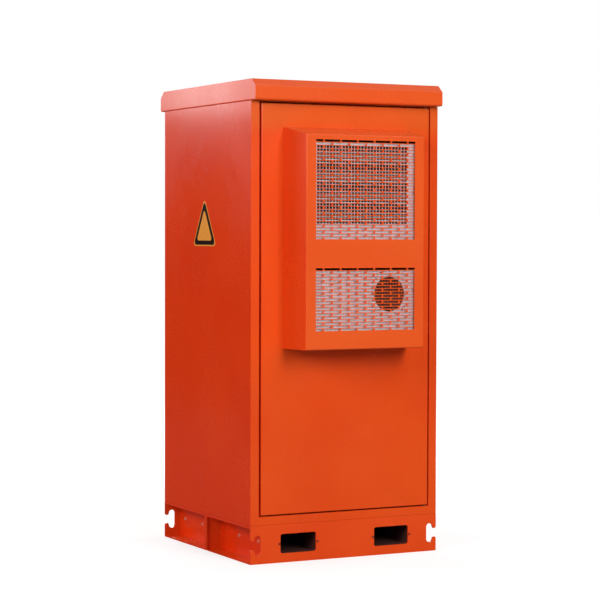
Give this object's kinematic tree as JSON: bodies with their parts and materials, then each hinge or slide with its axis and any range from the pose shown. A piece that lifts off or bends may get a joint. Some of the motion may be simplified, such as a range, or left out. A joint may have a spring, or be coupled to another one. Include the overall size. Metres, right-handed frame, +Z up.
{
  "type": "outdoor fibre distribution cabinet",
  "caption": "Orange outdoor fibre distribution cabinet with a door-mounted air conditioner, front and rear doors and a lifting plinth with fork pockets.",
  "frame": {"origin": "centre of the four anchor holes, on the floor under the plinth", "axes": "+X to the right of someone facing the air conditioner, +Y to the rear, +Z up"},
  "size_m": [0.8, 0.996, 1.8],
  "materials": {
    "orange_powder_coat": "orange powder coat, fine texture, semi-gloss",
    "plinth_powder_coat": "orange powder coat, fine texture, semi-gloss",
    "dark_primer": "dark red-brown primer, matt",
    "guard_sheet": "galvanised sheet, pale, matt",
    "galvanised_sheet": "galvanised sheet, soft grey",
    "zinc_plate": "zinc plate, bright",
    "aluminium_fins": "matt, fine fins",
    "black_plastic": "moulded, fine grain",
    "black_enamel": "satin black enamel",
    "foam_rubber": "closed-cell foam, matt",
    "grey_plastic": "moulded, fine grain",
    "blue_plastic": "moulded, satin",
    "white_plastic": "moulded, satin",
    "light_grey_paint": "light grey powder coat",
    "copper": "bare copper bar on red insulators",
    "handle_grey": "dark grey die casting, satin"
  },
  "bodies": {
    "cabinet": {"plinth_front_plate": "plinth_powder_coat", "plinth_rear_plate": "plinth_powder_coat", "plinth_side_left": "plinth_powder_coat", "plinth_side_right": "plinth_powder_coat", "fork_tube_left": "dark_primer", "fork_tube_right": "dark_primer", "fork_tube_screws": "black_enamel", "plinth_bolts": "zinc_plate", "floor_pan": "orange_powder_coat", "gland_plate": "galvanised_sheet", "cable_glands": "grey_plastic", "left_side_panel": "orange_powder_coat", "right_side_panel": "orange_powder_coat", "front_frame": "orange_powder_coat", "rear_frame": "orange_powder_coat", "ceiling_panel": "orange_powder_coat", "roof_cap": "orange_powder_coat", "roof_spacers": "zinc_plate", "left_insulation": "foam_rubber", "right_insulation": "foam_rubber", "rack_beams": "galvanised_sheet", "rack_rail_front_left": "galvanised_sheet", "rack_rail_front_right": "galvanised_sheet", "rack_rail_rear_left": "galvanised_sheet", "rack_rail_rear_right": "galvanised_sheet", "patch_panel_upper": "light_grey_paint", "patch_panel_lower": "light_grey_paint", "adapters_upper": "blue_plastic", "adapters_lower": "blue_plastic", "splice_cassettes": "white_plastic", "equipment_shelf": "galvanised_sheet", "cable_rail": "galvanised_sheet", "earth_bar": "copper"},
    "front_door": {"front_leaf": "orange_powder_coat", "front_stiffeners": "galvanised_sheet", "front_gasket": "foam_rubber", "front_hinge_pins": "orange_powder_coat", "ac_cover": "orange_powder_coat", "guard_plate_upper": "guard_sheet", "guard_plate_lower": "guard_sheet", "ac_chassis": "galvanised_sheet", "ac_partition": "galvanised_sheet", "condenser_coil": "aluminium_fins", "condenser_fan_frame": "black_plastic", "compressor": "black_enamel", "evaporator_coil": "aluminium_fins", "indoor_fan_frame": "black_plastic", "ac_inner_cover": "galvanised_sheet"},
    "rear_door": {"rear_leaf": "orange_powder_coat", "rear_stiffeners": "galvanised_sheet", "rear_gasket": "foam_rubber", "rear_hinge_pins": "orange_powder_coat"},
    "condenser_fan": {"condenser_fan_rotor": "black_plastic"},
    "indoor_fan": {"indoor_fan_rotor": "black_plastic"},
    "upper_latch": {"front_latch_upper": "zinc_plate"},
    "lower_latch": {"front_latch_lower": "zinc_plate"},
    "handle": {"rear_handle": "handle_grey", "lock_pinion": "zinc_plate"},
    "upper_rod": {"lock_rod_upper": "zinc_plate"},
    "lower_rod": {"lock_rod_lower": "zinc_plate"}
  },
  "joints": [
    {"name": "front_door_hinge", "type": "hinge", "parent": "cabinet", "child": "front_door", "pos_m": [0.3495, -0.391, 0.181], "axis": [0, 0, 1], "range_deg": [0, 110]},
    {"name": "rear_door_hinge", "type": "hinge", "parent": "cabinet", "child": "rear_door", "pos_m": [-0.3495, 0.391, 0.181], "axis": [0, 0, 1], "range_deg": [0, 110]},
    {"name": "upper_latch_turn", "type": "hinge", "parent": "front_door", "child": "upper_latch", "pos_m": [-0.305, -0.374, 1.41], "axis": [0, 1, 0], "range_deg": [0, 90]},
    {"name": "lower_latch_turn", "type": "hinge", "parent": "front_door", "child": "lower_latch", "pos_m": [-0.305, -0.374, 0.5], "axis": [0, 1, 0], "range_deg": [0, 90]},
    {"name": "handle_turn", "type": "hinge", "parent": "rear_door", "child": "handle", "pos_m": [0.305, 0.4, 1], "axis": [0, -1, 0], "range_deg": [0, 90]},
    {"name": "upper_rod_slide", "type": "slide", "parent": "rear_door", "child": "upper_rod", "axis": [0, 0, 1], "range_m": [0, 0.0189]},
    {"name": "lower_rod_slide", "type": "slide", "parent": "rear_door", "child": "lower_rod", "axis": [0, 0, -1], "range_m": [0, 0.0189]},
    {"name": "condenser_fan_spin", "type": "hinge", "parent": "front_door", "child": "condenser_fan", "pos_m": [0.106, -0.52, 1.004], "axis": [0, 1, 0], "continuous": true},
    {"name": "indoor_fan_spin", "type": "hinge", "parent": "front_door", "child": "indoor_fan", "pos_m": [0, -0.31, 0.936], "axis": [0, 1, 0], "continuous": true}
  ],
  "couplings": [
    {"joint": "upper_rod_slide", "follows": "handle_turn", "m_per_rad": 0.012},
    {"joint": "lower_rod_slide", "follows": "handle_turn", "m_per_rad": 0.012}
  ]
}
